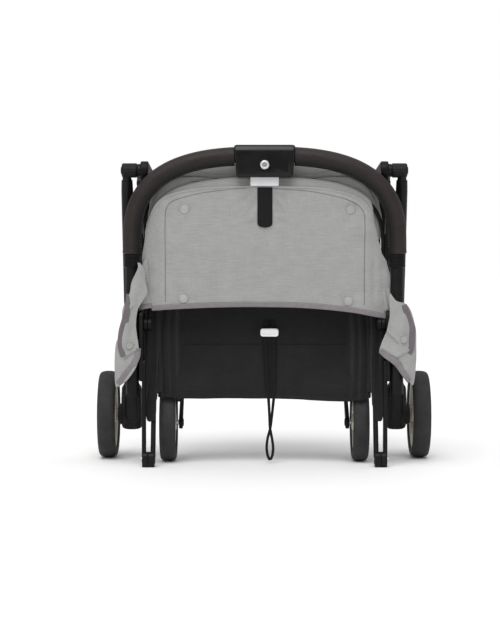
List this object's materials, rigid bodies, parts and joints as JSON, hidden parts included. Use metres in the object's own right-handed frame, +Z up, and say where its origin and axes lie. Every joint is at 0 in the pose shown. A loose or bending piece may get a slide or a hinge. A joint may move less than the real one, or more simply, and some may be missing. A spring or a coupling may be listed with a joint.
{
  "type": "folding travel stroller",
  "caption": "Compact travel stroller folded to stand on its wheels and fold feet, with arched grip handle, grey folded canopy and slung black seat.",
  "frame": {"origin": "middle of the floor under the folded stroller", "axes": "+X across to the right seen from behind, +Y to the stroller's front, +Z up"},
  "size_m": [0.52, 0.252, 0.4847],
  "materials": {
    "black_metal": "satin black powder coat",
    "black_plastic": "fine textured black nylon",
    "black_fabric": "plain weave black polyester",
    "grey_fabric": "plain weave grey melange polyester",
    "leatherette": "stitched dark brown leatherette",
    "tyre_rubber": "matt black foam rubber",
    "rim_plastic": "pale champagne paint on plastic",
    "steel": "satin",
    "off_white": "smooth light grey plastic"
  },
  "bodies": {
    "root": {"side_frame_l": "black_plastic", "side_frame_r": "black_plastic", "seat_crossbar": "black_metal", "basket": "black_fabric"},
    "rear_legs": {"rear_hub_l": "black_plastic", "rear_hub_r": "black_plastic", "rear_leg_l": "black_metal", "rear_leg_r": "black_metal", "rear_crossbar": "black_metal", "axle_housing_l": "black_plastic", "axle_housing_r": "black_plastic", "rear_axle_l": "steel", "rear_axle_r": "steel"},
    "brake_pedal": {"brake_pedal": "black_plastic"},
    "rear_wheel_l": {"rear_tyre_l": "tyre_rubber", "rear_rim_l": "rim_plastic"},
    "rear_wheel_r": {"rear_tyre_r": "tyre_rubber", "rear_rim_r": "rim_plastic"},
    "front_legs": {"front_leg_l": "black_metal", "front_leg_r": "black_metal", "front_crossbar": "black_metal"},
    "front_fork_l": {"front_fork_l": "black_plastic"},
    "front_fork_r": {"front_fork_r": "black_plastic"},
    "front_wheel_l": {"front_tyre_l": "tyre_rubber", "front_rim_l": "rim_plastic"},
    "front_wheel_r": {"front_tyre_r": "tyre_rubber", "front_rim_r": "rim_plastic"},
    "arms": {"lower_arm_l": "black_metal", "lower_arm_r": "black_metal", "fold_pin_l": "steel", "fold_pin_r": "steel"},
    "handle": {"handle_link_l": "black_metal", "handle_link_r": "black_metal", "handle_tube": "black_metal", "grip_l": "leatherette", "grip_r": "leatherette", "grip_collar_l": "black_plastic", "grip_collar_r": "black_plastic", "housing_rear": "black_plastic", "housing_front": "black_plastic", "canopy_flap_l": "grey_fabric", "canopy_flap_r": "grey_fabric"},
    "fold_button": {"fold_button": "steel"},
    "release_tab": {"release_tab": "off_white"},
    "rear_bow": {"rear_bow": "black_plastic", "canopy_cloth": "grey_fabric", "canopy_panel": "grey_fabric", "canopy_strap": "black_fabric"},
    "front_bow": {"front_bow": "black_plastic"},
    "seat": {"seat_board": "black_plastic", "seat_pad": "black_fabric", "harness_buckle": "black_plastic"},
    "buckle_button": {"buckle_button": "steel"},
    "backrest": {"backrest_board": "black_plastic", "backrest_pad": "black_fabric", "backrest_cover": "black_fabric", "recline_strap": "black_fabric", "harness_straps": "black_fabric"},
    "recline_slider": {"recline_slider": "off_white"},
    "leg_rest": {"leg_rest": "black_fabric"}
  },
  "joints": [
    {"name": "fold", "type": "hinge", "parent": "root", "child": "arms", "pos_m": [0, -0.011, 0.36], "axis": [-1, 0, 0], "range_deg": [0, 134]},
    {"name": "handle_unfold", "type": "hinge", "parent": "arms", "child": "handle", "pos_m": [0, -0.111, 0.0115], "axis": [1, 0, 0], "range_deg": [0, 174]},
    {"name": "rear_leg_swing", "type": "hinge", "parent": "root", "child": "rear_legs", "pos_m": [0, -0.086, 0.448], "axis": [-1, 0, 0], "range_deg": [0, 33.72]},
    {"name": "front_leg_swing", "type": "hinge", "parent": "root", "child": "front_legs", "pos_m": [0, 0.1015, 0.438], "axis": [1, 0, 0], "range_deg": [0, 37.2]},
    {"name": "seat_fold", "type": "hinge", "parent": "root", "child": "seat", "pos_m": [0, 0.109, 0.375], "axis": [-1, 0, 0], "range_deg": [0, 55.25]},
    {"name": "backrest_fold", "type": "hinge", "parent": "seat", "child": "backrest", "pos_m": [0, -0.054, 0.14], "axis": [1, 0, 0], "range_deg": [0, 64.75]},
    {"name": "canopy_rear", "type": "hinge", "parent": "handle", "child": "rear_bow", "pos_m": [0, -0.1, 0.215], "axis": [-1, 0, 0], "range_deg": [0, 30]},
    {"name": "canopy_front", "type": "hinge", "parent": "rear_bow", "child": "front_bow", "pos_m": [0, -0.1, 0.215], "axis": [-1, 0, 0], "range_deg": [0, 85]},
    {"name": "brake_pedal_tip", "type": "hinge", "parent": "rear_legs", "child": "brake_pedal", "pos_m": [0, -0.00024, 0.165], "axis": [-1, 0, 0], "range_deg": [0, 20]},
    {"name": "rear_wheel_spin_l", "type": "hinge", "parent": "rear_legs", "child": "rear_wheel_l", "pos_m": [-0.246, 0.029, 0.0685], "axis": [1, 0, 0], "continuous": true},
    {"name": "rear_wheel_spin_r", "type": "hinge", "parent": "rear_legs", "child": "rear_wheel_r", "pos_m": [0.246, 0.029, 0.0685], "axis": [1, 0, 0], "continuous": true},
    {"name": "front_swivel_l", "type": "hinge", "parent": "front_legs", "child": "front_fork_l", "pos_m": [-0.1485, -0.00609, 0.04488], "axis": [0, 0.6046, 0.7965], "range_deg": [-50, 180]},
    {"name": "front_swivel_r", "type": "hinge", "parent": "front_legs", "child": "front_fork_r", "pos_m": [0.1485, -0.00609, 0.04488], "axis": [0, 0.6046, 0.7965], "range_deg": [-180, 50]},
    {"name": "front_wheel_spin_l", "type": "hinge", "parent": "front_fork_l", "child": "front_wheel_l", "pos_m": [-0.1485, -0.026, 0.06], "axis": [1, 0, 0], "continuous": true},
    {"name": "front_wheel_spin_r", "type": "hinge", "parent": "front_fork_r", "child": "front_wheel_r", "pos_m": [0.1485, -0.026, 0.06], "axis": [1, 0, 0], "continuous": true},
    {"name": "fold_button_press", "type": "slide", "parent": "handle", "child": "fold_button", "axis": [0, 1, 0], "range_m": [0, 0.0025], "stiffness_N_per_m": 400},
    {"name": "release_tab_pull", "type": "slide", "parent": "handle", "child": "release_tab", "axis": [0, 0, 1], "range_m": [0, 0.006], "stiffness_N_per_m": 200},
    {"name": "buckle_button_press", "type": "slide", "parent": "seat", "child": "buckle_button", "axis": [0, 0.8217, -0.5699], "range_m": [0, 0.0025], "stiffness_N_per_m": 400},
    {"name": "recline_slide", "type": "slide", "parent": "backrest", "child": "recline_slider", "axis": [0, 0, -1], "range_m": [0, 0.09]},
    {"name": "leg_rest_tilt", "type": "hinge", "parent": "root", "child": "leg_rest", "pos_m": [0, 0.109, 0.375], "axis": [1, 0, 0], "range_deg": [0, 90]}
  ],
  "couplings": [
    {"joint": "handle_unfold", "follows": "fold", "ratio": 1.2985},
    {"joint": "rear_leg_swing", "follows": "fold", "ratio": 0.25164},
    {"joint": "front_leg_swing", "follows": "fold", "ratio": 0.27761},
    {"joint": "seat_fold", "follows": "fold", "ratio": 0.41231},
    {"joint": "backrest_fold", "follows": "fold", "ratio": 0.4832},
    {"joint": "canopy_rear", "follows": "fold", "ratio": 0.22388},
    {"joint": "canopy_front", "follows": "fold", "ratio": 0.63432}
  ]
}
